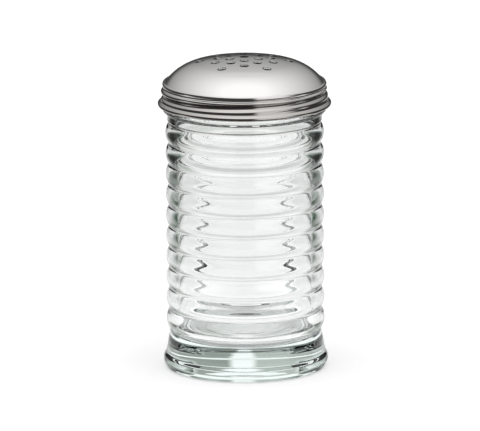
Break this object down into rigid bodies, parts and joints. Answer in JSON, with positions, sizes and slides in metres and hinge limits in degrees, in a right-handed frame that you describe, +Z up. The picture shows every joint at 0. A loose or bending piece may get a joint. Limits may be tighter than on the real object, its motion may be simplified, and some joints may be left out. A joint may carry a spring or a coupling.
{
  "type": "parmesan shaker",
  "caption": "Ribbed glass shaker jar with a heavy foot and a domed, perforated steel lid that screws on over its mouth.",
  "frame": {"origin": "centre of the ring that the foot stands on, at the height of the table", "axes": "+Z up along the shaker's axis, -Y towards the front, where one spoke of the holes points"},
  "size_m": [0.0774, 0.0774, 0.1408],
  "materials": {
    "glass": "clear pressed glass with a faint green edge",
    "steel": "bright polished stainless steel sheet"
  },
  "bodies": {
    "jar": {"glass_jar": "glass"},
    "lid_edge": {"lid_hem": "steel"},
    "lid": {"shaker_lid": "steel"}
  },
  "joints": [
    {"name": "lid_rise", "type": "slide", "parent": "jar", "child": "lid_edge", "axis": [0, 0, 1], "range_m": [0, 0.00525]},
    {"name": "lid_turn", "type": "hinge", "parent": "lid_edge", "child": "lid", "pos_m": [0, 0, 0.12], "axis": [0, 0, 1], "range_deg": [0, 450]}
  ],
  "couplings": [
    {"joint": "lid_rise", "follows": "lid_turn", "m_per_rad": 0.00066845}
  ]
}
